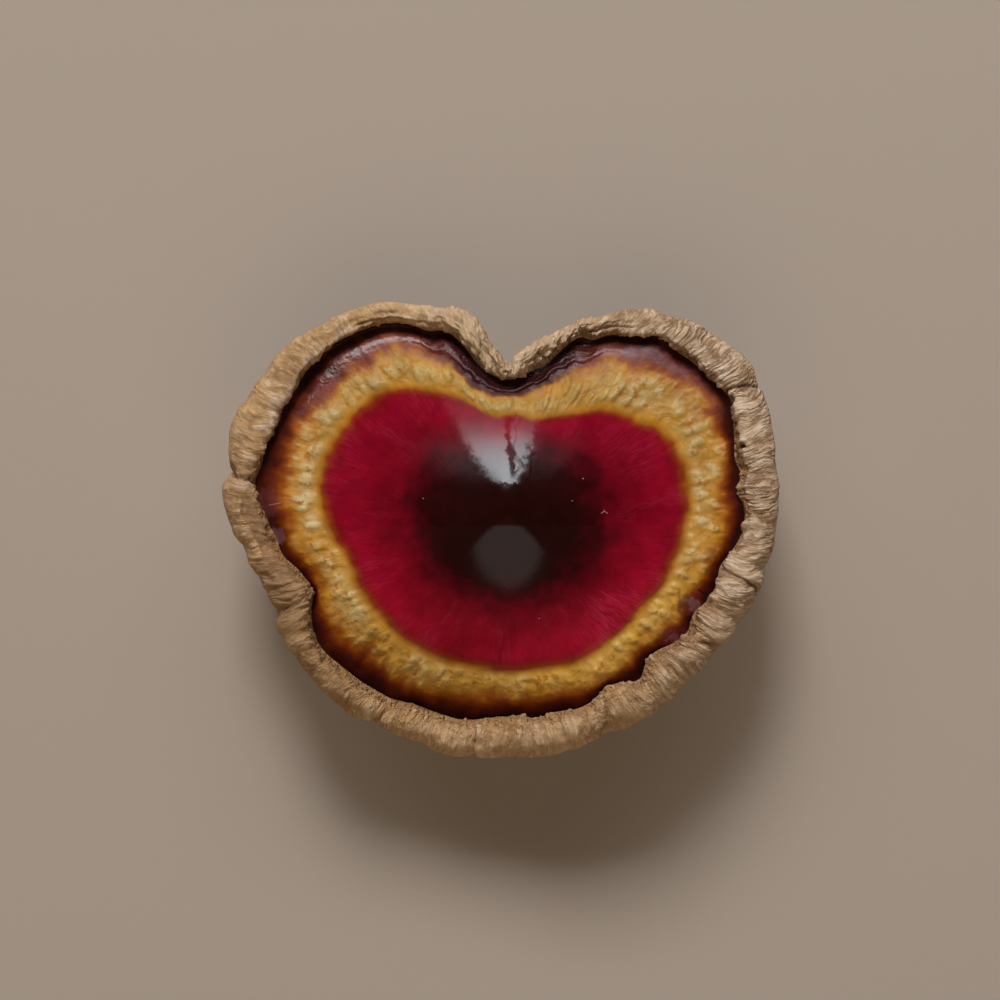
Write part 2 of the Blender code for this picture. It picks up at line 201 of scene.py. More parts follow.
def closed_curve(rows, degrees):
    """Values at angles on a smooth closed curve through rows of (degrees, value)."""
    before = [(angle - 360, value) for angle, value in rows[-3:]]
    after = [(angle + 360, value) for angle, value in rows[:3]]
    return curve_through([*before, *rows, *after], np.mod(degrees, 360.0))


def margin_reach(degrees):
    """Where the margin dips, it reaches a little further out."""
    return 1.0 + (33.0 - closed_curve(RIM_HEIGHT, degrees)) / 600.0


def outer_edge(degrees):
    return closed_curve(OUTER_EDGE, degrees) * margin_reach(degrees) * OUTER_REACH


def lip_edge(degrees):
    return closed_curve(LIP_EDGE, degrees) * margin_reach(degrees) * LIP_REACH


def rim_angles(shares):
    """Angles, in degrees, at shares of the way along the rim's middle line, from the notch and round to it."""
    fine = NOTCH_ANGLE + np.linspace(0.0, 360.0, 1441)
    middle = (outer_edge(fine) + lip_edge(fine)) / 2
    line = middle[:, None] * np.stack([np.cos(np.radians(fine)), np.sin(np.radians(fine))], axis=1)
    steps = np.linalg.norm(np.diff(line, axis=0), axis=1)
    travelled = np.concatenate([[0.0], np.cumsum(steps)])
    return np.interp(shares * travelled[-1], travelled, fine)


def turn_between(angle, other):
    """Degrees from one angle to another, the short way."""
    return np.mod(angle - other + 180.0, 360.0) - 180.0


def lumps(points):
    """Smooth noise, about -1 to 1, at points given in lump lengths."""
    return np.array([noise.noise(p) for p in points.tolist()])


def folds(points, octaves):
    """Rounded swellings with sharp valleys between them, from 0 up."""
    return np.array([noise.turbulence(p, octaves, True) for p in points.tolist()])


def rim_relief(angle, radius, share):
    """How far the rim's skin stands out or in, in millimetres, at a share of its width."""
    x = radius * np.cos(np.radians(angle))
    y = radius * np.sin(np.radians(angle))
    across = np.full_like(x, share * 6.0)
    out = LUMP_HEIGHT * lumps(np.stack([x, y, across], axis=1) / LUMP_LENGTH)
    ridges = lumps(np.stack([x, y, across * 0.4 + 50.0], axis=1) / WRINKLE_LENGTH)
    out += WRINKLE_HEIGHT * (2.6 * np.abs(ridges) - 0.6)
    for place, depth, width in CREASES:
        off = turn_between(angle, place) * math.pi / 180.0 * radius
        out -= depth * np.exp(-((off / width) ** 2))
    for start, end, groove, depth in LEDGES:
        middle, half = (start + end) / 2, (end - start) / 2
        along = smooth((half - np.abs(turn_between(angle, middle))) / 5.0)
        out -= depth * along * math.exp(-(((share - groove) / 0.12) ** 2))
    return out


def rim_rings(angle):
    """The rim's rings, from under its lip over the top and down to its belly."""
    lip = lip_edge(angle)
    outer = outer_edge(angle)
    middle_height = closed_curve(RIM_HEIGHT, angle)
    rings = [(lip + TUCK_UNDER_LIP, middle_height + MOAT_FLOOR)]
    for share, height in RIM_PROFILE:
        out_share = share - 0.5
        length = math.hypot(out_share, height / 10.0)
        relief = rim_relief(angle, (lip + outer) / 2, share)
        if height < 0.0:
            relief = relief * max(0.0, 1.0 + height / 7.0)
        radius = lip + (outer - lip) * share + relief * out_share / length
        rings.append((radius, middle_height + height + relief * height / 10.0 / length))
    return rings


def broad_edge(degrees):
    """The lip's distance with its small bumps averaged away."""
    steps = np.arange(-8, 9)
    weights = np.exp(-((steps / 4.0) ** 2))
    nearby = [w * lip_edge(degrees + 2.5 * step) for w, step in zip(weights, steps)]
    return sum(nearby) / weights.sum()


def crown_height(x, y):
    """Height of the crown at a point, the margin left aside: a gentle dome that is steeper towards the notch."""
    x, y = x - CROWN_PLACE[0], y - CROWN_PLACE[1]
    far = np.hypot(x, y)
    turned = np.abs(turn_between(np.degrees(np.arctan2(y, x)), 90.0))
    to_notch = smooth(1.0 - (turned - STEEP_HALF_ANGLE) / STEEP_FADE)
    steep = STEEP_SLOPE * (np.sqrt(far**2 + STEEP_ROUNDING**2) - STEEP_ROUNDING)
    gentle = far**2 / (2 * CROWN_CURVE)
    return CROWN_HEIGHT - gentle - (steep - gentle) * to_notch


def lacquer_height(angle, radius):
    """Height of the lacquered top at a distance from the middle."""
    lip = lip_edge(angle)
    shoulder = closed_curve(RIM_HEIGHT, angle) + SHOULDER_ABOVE_RIM
    round_edge = broad_edge(angle)
    cos, sin = np.cos(np.radians(angle)), np.sin(np.radians(angle))
    share = radius / round_edge
    lift = shoulder - crown_height(round_edge * cos, round_edge * sin)
    height = crown_height(radius * cos, radius * sin) + lift * smooth((share - DRAWN_FROM) / DRAWN_OVER)
    moat_depth = (SHOULDER_ABOVE_RIM - MOAT_FLOOR) * closed_curve(GUTTER, angle)
    height -= moat_depth * (1.0 - smooth((lip - radius) / SHOULDER_WIDTH))
    beside_groove = turn_between(angle, NOTCH_ANGLE) * math.pi / 180.0 * radius / GROOVE_WIDTH
    height -= GROOVE_DEPTH * np.exp(-(beside_groove**2)) * smooth((share - 0.2) / 0.3)
    return height


def under_rings(angle):
    """The pore surface's rings, from the rim's belly in towards the stem."""
    lip = lip_edge(angle)
    outer = outer_edge(angle)
    share, height = RIM_PROFILE[-1]
    belly = lip + (outer - lip) * share
    belly_height = closed_curve(RIM_HEIGHT, angle) + height
    rings = []
    for part in UNDER_SHARES:
        radius = belly * part
        out = smooth((radius - UNDER_FLAT_RADIUS) / (belly - UNDER_FLAT_RADIUS))
        rings.append((radius, UNDER_HEIGHT + (belly_height - UNDER_HEIGHT) * out))
    return rings


def deselect_all():
    if bpy.context.mode != "OBJECT":
        bpy.ops.object.mode_set(mode="OBJECT")
    bpy.ops.object.select_all(action="DESELECT")


def extrude_rings(name, rings, levels):
    """A skin extruded from ring to ring, subdivided, and then closed with a point at both ends.

    Each ring is an array of points in metres. Every vertex keeps its ring's number, and a point on the unit circle
    that says which column it is in.
    """
    columns = len(rings[0])
    turn = np.arange(columns) / columns * 2 * math.pi
    deselect_all()
    bpy.ops.mesh.primitive_circle_add(vertices=columns, radius=0.01)
    piece = bpy.context.active_object
    piece.name = piece.data.name = name
    bpy.ops.object.mode_set(mode="EDIT")
    bpy.ops.mesh.select_mode(type="VERT")
    bpy.ops.mesh.select_all(action="SELECT")
    bm = bmesh.from_edit_mesh(piece.data)
    column = bm.verts.layers.int.new("column")
    bm.verts.layers.float.new("ring")
    bm.verts.layers.float_vector.new("strip")
    strip = bm.verts.layers.float_vector["strip"]
    column = bm.verts.layers.int["column"]
    for i, vert in enumerate(bm.verts):
        vert[column] = i
        vert[strip] = (math.cos(turn[i]), math.sin(turn[i]), 0.0)
        vert.co = rings[0][i]
    bmesh.update_edit_mesh(piece.data)
    for number, ring in enumerate(rings[1:], start=1):
        bpy.ops.mesh.extrude_region()
        bm = bmesh.from_edit_mesh(piece.data)
        column, level = bm.verts.layers.int["column"], bm.verts.layers.float["ring"]
        for vert in bm.verts:
            if vert.select:
                vert.co = ring[vert[column]]
                vert[level] = number
        bmesh.update_edit_mesh(piece.data)
    bpy.ops.object.mode_set(mode="OBJECT")
    apply_modifier(piece, "SUBSURF", levels=levels, render_levels=levels)
    bpy.ops.object.mode_set(mode="EDIT")
    for end in (0, len(rings) - 1):
        bpy.ops.mesh.select_all(action="DESELECT")
        bm = bmesh.from_edit_mesh(piece.data)
        level = bm.verts.layers.float["ring"]
        for vert in bm.verts:
            vert.select = abs(vert[level] - end) < 0.01
        bm.select_flush_mode()
        bmesh.update_edit_mesh(piece.data)
        bpy.ops.mesh.extrude_region()
        bpy.ops.mesh.merge(type="CENTER")
    bpy.ops.mesh.select_all(action="SELECT")
    bpy.ops.mesh.normals_make_consistent(inside=False)
    bpy.ops.object.mode_set(mode="OBJECT")
    return piece


def apply_modifier(piece, kind, **settings):
    bpy.context.view_layer.objects.active = piece
    modifier = piece.modifiers.new(kind.lower(), kind)
    for key, value in settings.items():
        setattr(modifier, key, value)
    bpy.ops.object.modifier_apply(modifier=modifier.name)


def read_points(piece):
    flat = np.empty(len(piece.data.vertices) * 3)
    piece.data.vertices.foreach_get("co", flat)
    return flat.reshape(-1, 3) / MM


def write_points(piece, points):
    piece.data.vertices.foreach_set("co", (points * MM).ravel())
    piece.data.update()


def read_normals(piece):
    flat = np.empty(len(piece.data.vertices) * 3)
    piece.data.vertex_normals.foreach_get("vector", flat)
    return flat.reshape(-1, 3)


def read_layer(piece, name, size):
    layer = piece.data.attributes[name]
    flat = np.empty(len(layer.data) * size)
    layer.data.foreach_get("vector" if size == 3 else "value", flat)
    return flat.reshape(-1, size) if size > 1 else flat


def write_layer(piece, name, values):
    old = piece.data.attributes.get(name)
    if old:
        piece.data.attributes.remove(old)
    kind = "FLOAT_VECTOR" if values.ndim == 2 else "FLOAT"
    layer = piece.data.attributes.new(name, kind, "POINT")
    layer.data.foreach_set("vector" if values.ndim == 2 else "value", values.ravel())


def colour_band(angle, radius, height):
    """Which band of the lacquer a point is in: 0 at the crown, 1 red, 2 gold, 3 brown, 4 at the lip."""
    edges = [np.zeros_like(radius)]
    edges += [closed_curve(rows, angle) * (629.0 - height) / 596.0 for rows in (DARK_EDGE, RED_EDGE, GOLD_EDGE)]
    edges += [lip_edge(angle)]
    band = np.full_like(radius, 4.0)
    for number in range(4):
        inside = (radius >= edges[number]) & (radius < edges[number + 1])
        share = (radius - edges[number]) / (edges[number + 1] - edges[number])
        band = np.where(inside, number + share, band)
    return band


def build_cap(creases, mottled):
    """The cap in one skin: lacquered top, rolled rim and pore surface."""
    shares = np.arange(COLUMNS) / COLUMNS
    angle = rim_angles(shares)
    lip, round_edge = lip_edge(angle), broad_edge(angle)
    rings = []
    for share in LACQUER_SHARES:
        radius = share * (round_edge + (lip - round_edge) * share**2)
        rings.append((radius, lacquer_height(angle, radius)))
    rings += [(lip - gap, lacquer_height(angle, lip - gap)) for gap in SHOULDER_GAPS]
    first_rim = len(rings)
    rings += rim_rings(angle)
    last_rim = len(rings) - 1
    rings += under_rings(angle)
    cos, sin = np.cos(np.radians(angle)), np.sin(np.radians(angle))
    places = [np.stack([r * cos, r * sin, z], axis=1) * MM for r, z in rings]
    cap = extrude_rings("cap_skin", places, 2)

    points = read_points(cap)
    ring = read_layer(cap, "ring", 1)
    strip = read_layer(cap, "strip", 3)
    turn = np.arctan2(strip[:, 1], strip[:, 0])
    column_angle = rim_angles(np.mod(turn / (2 * math.pi), 1.0))

    on_top = ring < first_rim
    place_angle = np.degrees(np.arctan2(points[:, 1], points[:, 0]))
    radius = np.hypot(points[:, 0], points[:, 1])
    top_height = lacquer_height(place_angle, radius)
    settle = smooth((first_rim - 0.3 - ring) / 0.8)
    points[:, 2] += np.where(on_top, (top_height - points[:, 2]) * settle, 0.0)
    write_points(cap, points)

    # Millimetres across the rim, from under the lip to the belly.
    mean_lip, mean_outer = closed_curve(LIP_EDGE, angle).mean(), closed_curve(OUTER_EDGE, angle).mean()
    section = [(mean_lip + TUCK_UNDER_LIP, MOAT_FLOOR)]
    section += [(mean_lip + (mean_outer - mean_lip) * s, h) for s, h in RIM_PROFILE]
    steps = np.linalg.norm(np.diff(np.array(section), axis=0), axis=1)
    travelled = np.concatenate([[0.0], np.cumsum(steps)])
    across = np.interp(ring, np.arange(first_rim, last_rim + 1), travelled)
    on_rim = smooth((ring - first_rim) / 1.0) * smooth((last_rim + 1.5 - ring) / 2.5)

    # Bulges, wrinkles and fine folds that cross the rim, all wandering a little from side to side.
    rim = ring > first_rim - 0.5
    layout = np.stack([np.cos(turn) * STRIP_RADIUS, np.sin(turn) * STRIP_RADIUS, across], axis=1)
    laid = layout[rim]
    bend = 1.5 * lumps(laid * (1 / 9.0, 1 / 9.0, 1 / 6.0)) + 0.45 * lumps(laid / 3.0 + 20.0)
    bent_turn = turn[rim] + bend / STRIP_RADIUS
    bent = np.stack(
        [np.cos(bent_turn) * STRIP_RADIUS, np.sin(bent_turn) * STRIP_RADIUS, laid[:, 2]], axis=1
    )
    layout[rim] = bent
    bulges = folds(bent * (1 / 6.5, 1 / 6.5, 1 / 17.0) + 7.0, 0)
    wrinkles = folds(bent * (1 / 2.7, 1 / 2.7, 1 / 12.0) + 31.0, 0)
    fine = folds(bent * (1 / 1.35, 1 / 1.35, 1 / 6.0) + 77.0, 0)
    rough = smooth(0.5 + 1.3 * lumps(bent * (1 / 9.0, 1 / 9.0, 1 / 9.0) + 5.0))
    fold_strength = closed_curve(FOLD_STRENGTH, column_angle)[rim]
    knotty = folds(laid * (1 / 3.6, 1 / 3.6, 1 / 4.4) + 63.0, 2)
    to_outside = smooth((laid[:, 2] - 9.0) / 6.0)
    rim_out = fold_strength * (1.0 - 0.6 * to_outside) * 0.9 * (bulges - 0.22)
    fine_folds = rough * (0.75 * (wrinkles - 0.2) + 0.46 * (fine - 0.2))
    rim_out += fold_strength**2 * (1.0 - 0.5 * to_outside) * fine_folds
    rim_out += (1.0 - 0.85 * to_outside) * 0.7 * (knotty - 0.45) + 0.2 * lumps(bent / 3.4 + 41.0)

    # On the side of the notch the roll is fuller at its lip, and knobbly.
    notch_side = smooth((points[rim, 1] - 18.0) / 16.0)
    rim_out += notch_side * 0.9 * np.exp(-(((laid[:, 2] - 4.6) / 2.2) ** 2))
    beside_notch = smooth((28.0 - np.abs(turn_between(column_angle[rim], 86.0))) / 10.0)
    rim_out += beside_notch * (1.0 - to_outside) * 2.2 * (folds(laid / 4.2 + 27.0, 1) - 0.4)
    rim_out += beside_notch * 1.2 * (folds(laid / 1.7 + 15.0, 1) - 0.4)

    # The lip is crumbly, and in places a layer of it stands back from the next like a torn page.
    crumb_strength = closed_curve(CRUMB_STRENGTH, column_angle)[rim]
    inner = smooth((7.5 - laid[:, 2]) / 4.0)
    rim_out += crumb_strength * inner * 1.2 * (folds(laid / 2.1 + 13.0, 2) - 0.45)
    rim_out += smooth((4.5 - laid[:, 2]) / 3.0) * (0.9 * lumps(laid / 3.3 + 91.0) + 0.5 * lumps(laid / 1.5 + 17.0))
    seam = np.zeros(len(laid))
    for start, end, place, step in LAYERS:
        middle, half = (start + end) / 2, (end - start) / 2
        along = smooth((half - np.abs(turn_between(column_angle[rim], middle))) / 4.0)
        torn = laid[:, 2] - place - 1.1 * lumps(laid / 5.0 + place) - 0.35 * lumps(laid / 1.6)
        broken = smooth(0.55 + 1.6 * lumps(laid / 4.0 + 3.0 * place))
        seam = np.maximum(seam, 0.75 * along * broken * np.exp(-((torn / 0.4) ** 2)))
        rim_out -= 1.5 * step * along * smooth(0.5 - torn / 0.45) * smooth((laid[:, 2] - 0.5) / 2.0)
    for place, depth, width, step, slant in CRACKS:
        off = turn_between(column_angle[rim], place) * math.pi / 180.0 * radius[rim]
        off = off + slant * (laid[:, 2] - 10.0) + 0.45 * lumps(laid / 2.2 + place)
        rim_out -= depth * np.exp(-np.abs(off) / width)
        rim_out += step * np.sign(off) * np.exp(-np.abs(off) / 3.0)
        seam = np.maximum(seam, np.exp(-np.abs(off) / width))
    for x, y, size, out, pit in KNOBS:
        far = np.hypot(points[rim, 0] - x, points[rim, 1] - y) / size
        rim_out += (out * np.exp(-(far**2)) - pit * np.exp(-((far * 2.6) ** 2))) * (laid[:, 2] < 17.0)
        seam = np.maximum(seam, 0.9 * np.exp(-((far * 2.4) ** 2)) * (pit > 0.0))
    relief = np.zeros(len(points))
    relief[rim] = rim_out * on_rim[rim]
    write_points(cap, points + read_normals(cap) * relief[:, None])
    seams = np.zeros(len(points))
    seams[rim] = seam

    band = colour_band(place_angle, radius, top_height)
    band = np.where(on_top, band, 4.0 + np.clip(ring - first_rim, 0.0, 99.0) / (last_rim - first_rim))
    write_layer(cap, "band", band)
    write_layer(cap, "relief", relief)
    write_layer(cap, "seam", seams)
    distance = np.where(rim, 60.0 + across, radius)
    laid_out = np.stack([layout[:, 0], layout[:, 1], distance], axis=1)
    write_layer(cap, "strip", laid_out * MM)
    for name in ("column", "ring"):
        cap.data.attributes.remove(cap.data.attributes[name])

    # Lacquer inside the lip, tan rim over the roll, pores from the belly in.
    for material in (lacquer_material(creases, mottled), rim_material(creases, mottled), pore_material(mottled)):
        cap.data.materials.append(material)
    face_slots = np.zeros(len(cap.data.polygons), int)
    for face in cap.data.polygons:
        level = sum(ring[v] for v in face.vertices) / len(face.vertices)
        face_slots[face.index] = 0 if level < first_rim + 0.1 else (1 if level < last_rim - 0.2 else 2)
    cap.data.polygons.foreach_set("material_index", face_slots)
    cap.data.shade_smooth()
    return cap


def build_stem(creases, mottled):
    """The stem, from its cut foot up into the cap."""
    turn = np.arange(48) / 48 * 2 * math.pi
    top = STEM_PROFILE[-1][0]
    profile = [(0.0, 2.0), (0.0, 8.0), (0.0, 14.4), *STEM_PROFILE[1:]]
    profile += [(top + 0.7, 21.0), (top + 1.6, 18.0), (top + 1.6, 2.0)]
    rings = []
    for height, radius in profile:
        x, y = radius * np.cos(turn), radius * np.sin(turn)
        knobs = np.stack([x, y, np.full_like(x, height * 0.6 + 80.0)], axis=1) / STEM_KNOB_LENGTH
        swell = 1.0 + STEM_KNOB_HEIGHT * lumps(knobs) / radius
        lean = float(smooth(height / top))
        z = np.full_like(x, height)
        rings.append(
            np.stack([x * swell + STEM_LEAN[0] * lean, y * swell + STEM_LEAN[1] * lean, z], axis=1) * MM
        )
    stem = extrude_rings("stem_skin", rings, 2)
    points = read_points(stem)
    side = smooth(points[:, 2] / 1.5) * smooth((23.0 - points[:, 2]) / 2.0)
    stretched = points * (1 / 3.0, 1 / 3.0, 1 / 7.0)
    relief = side * (0.5 * (folds(stretched, 1) - 0.4) + 0.12 * lumps(points / 1.1))
    points = points + read_normals(stem) * relief[:, None]
    points[:, 2] = np.maximum(points[:, 2], 0.0)
    write_points(stem, points)
    write_layer(stem, "relief", relief)
    for name in ("column", "ring", "strip"):
        stem.data.attributes.remove(stem.data.attributes[name])
    stem.data.materials.append(stem_material(creases, mottled))
    stem.data.shade_smooth()
    return stem


class Nodes:
    """Short ways to add and join shader nodes."""

    def __init__(self, tree):
        self.tree = tree

    def add(self, kind, **settings):
        new = self.tree.nodes.new(kind)
        for key, value in settings.items():
            setattr(new, key, value)
        return new

    def put(self, socket, value):
        """Set a socket to a number or colour, or link another socket to it."""
        if isinstance(value, bpy.types.NodeSocket):
            self.tree.links.new(value, socket)
        else:
            socket.default_value = value

    def maths(self, operation, first, second=0.0, clamp=False):
        new = self.add("ShaderNodeMath", operation=operation, use_clamp=clamp)
        self.put(new.inputs[0], first)
        self.put(new.inputs[1], second)
        return new.outputs[0]

    def product(self, first, *others):
        for other in others:
            first = self.maths("MULTIPLY", first, other)
        return first

    def total(self, first, *others):
        for other in others:
            first = self.maths("ADD", first, other)
        return first

    def between(self, value, low, high, to_low=0.0, to_high=1.0):
        new = self.add("ShaderNodeMapRange", interpolation_type="SMOOTHSTEP")
        self.put(new.inputs["Value"], value)
        for name, number in (("From Min", low), ("From Max", high), ("To Min", to_low), ("To Max", to_high)):
            self.put(new.inputs[name], number)
        return new.outputs["Result"]

    def mix(self, amount, first, second, blend="MIX"):
        new = self.add("ShaderNodeMix", data_type="RGBA", blend_type=blend)
        self.put(new.inputs[0], amount)
        self.put(new.inputs[6], first)
        self.put(new.inputs[7], second)
        return new.outputs[2]

    def tint(self, amount, colour, shade):
        return self.mix(amount, colour, (*shade, 1.0))

    def scaled(self, vector, scale, place=(0.0, 0.0, 0.0)):
        new = self.add("ShaderNodeMapping")
        self.put(new.inputs["Vector"], vector)
        new.inputs["Scale"].default_value = scale
        new.inputs["Location"].default_value = place
        return new.outputs["Vector"]

    def grain(self, vector, scale, detail=2.0, rough=0.5, distortion=0.0):
        new = self.add("ShaderNodeTexNoise")
        for name, value in (
            ("Vector", vector), ("Scale", scale), ("Detail", detail), ("Roughness", rough), ("Distortion", distortion),
        ):
            self.put(new.inputs[name], value)
        return new.outputs[0]

    def ramp(self, value, stops):
        new = self.add("ShaderNodeValToRGB")
        elements = new.color_ramp.elements
        while len(elements) > 1:
            elements.remove(elements[-1])
        elements[0].position, elements[0].color = stops[0][0], (*stops[0][1], 1.0)
        for position, colour in stops[1:]:
            elements.new(position).color = (*colour, 1.0)
        self.put(new.inputs["Fac"], value)
        return new.outputs["Color"]

    def attribute(self, name):
        return self.add("ShaderNodeAttribute", attribute_name=name)

    def parts(self, vector):
        new = self.add("ShaderNodeSeparateXYZ")
        self.put(new.inputs[0], vector)
        return new.outputs

    def spot(self, place, centre, size, wobble=0.0):
        """1 at an (x, y) given in millimetres, fading to 0 at `size` millimetres from it."""
        new = self.add("ShaderNodeVectorMath", operation="DISTANCE")
        self.put(new.inputs[0], self.scaled(place, (1.0, 1.0, 0.0)))
        new.inputs[1].default_value = (centre[0] * MM, centre[1] * MM, 0.0)
        far = new.outputs["Value"]
        if wobble:
            uneven = self.maths("SUBTRACT", self.grain(place, 420.0, 3.0, 0.6), 0.5)
            far = self.maths("ADD", far, self.maths("MULTIPLY", uneven, wobble * MM))
        return self.between(far, size * MM, size * 0.55 * MM)

    def stroke(self, place, start, end, width):
        """1 on a straight stroke from one (x, y) to another, all in millimetres, and 0 beside it."""
        length, turned = math.dist(start, end), math.atan2(end[1] - start[1], end[0] - start[0])
        moved = self.add("ShaderNodeVectorMath", operation="SUBTRACT")
        self.put(moved.inputs[0], place)
        moved.inputs[1].default_value = (start[0] * MM, start[1] * MM, 0.0)
        level = self.add("ShaderNodeMapping")
        self.put(level.inputs["Vector"], moved.outputs[0])
        level.inputs["Rotation"].default_value = (0.0, 0.0, -turned)
        along, beside, _ = self.parts(level.outputs[0])
        on_line = self.between(self.maths("ABSOLUTE", beside), width * MM, width * 0.4 * MM)
        ends = self.product(self.between(along, -width * MM, 0.0), self.between(along, (length + width) * MM, length * MM))
        return self.product(on_line, ends)

    def group(self, tree, **values):
        new = self.add("ShaderNodeGroup", node_tree=tree)
        for name, value in values.items():
            self.put(new.inputs[name], value)
        return new.outputs

    def bump(self, height, shader):
        new = self.add("ShaderNodeBump")
        new.inputs["Distance"].default_value = 1.0
        self.put(new.inputs["Height"], height)
        self.put(shader.inputs["Normal"], new.outputs["Normal"])


def shader_group(name, inputs, outputs):
    """A shader node group with named sockets, and what is needed to fill it."""
    tree = bpy.data.node_groups.new(name, "ShaderNodeTree")
    for label, kind in inputs:
        tree.interface.new_socket(label, in_out="INPUT", socket_type="NodeSocket" + kind)
    for label, kind in outputs:
        tree.interface.new_socket(label, in_out="OUTPUT", socket_type="NodeSocket" + kind)
    n = Nodes(tree)
    return tree, n, n.add("NodeGroupInput").outputs, n.add("NodeGroupOutput").inputs


def creases_group():
    """Thin lines where skin is folded, with rounded swellings between them."""
    inputs = (("Vector", "Vector"), ("Width", "Float"), ("Waver", "Float"))
    tree, n, given, wanted = shader_group("creases", inputs, (("Line", "Float"), ("Swelling", "Float")))
    wave = n.grain(given["Vector"], 1.0, 1.0, 0.5, given["Waver"])
    off = n.maths("ABSOLUTE", n.maths("SUBTRACT", wave, 0.5))
    n.put(wanted["Line"], n.between(off, given["Width"], 0.0))
    n.put(wanted["Swelling"], n.between(off, 0.0, 0.17))
    return tree


def mottled_group():
    """Uneven lightness, as on anything that grew."""
    inputs = (("Color", "Color"), ("Vector", "Vector"), ("Strength", "Float"))
    tree, n, given, wanted = shader_group("mottled", inputs, (("Color", "Color"),))
    uneven = n.maths("SUBTRACT", n.grain(given["Vector"], 1.0, 4.0, 0.6), 0.5)
    value = n.maths("ADD", n.maths("MULTIPLY", uneven, given["Strength"]), 1.0)
    grey = n.add("ShaderNodeCombineColor")
    for channel in grey.inputs[:3]:
        n.put(channel, value)
    n.put(wanted["Color"], n.mix(1.0, given["Color"], grey.outputs[0], "MULTIPLY"))
    return tree


def new_material(name):
    material = bpy.data.materials.new(name)
    material.use_nodes = True
    shader = material.node_tree.nodes["Principled BSDF"]
    return material, Nodes(material.node_tree), shader


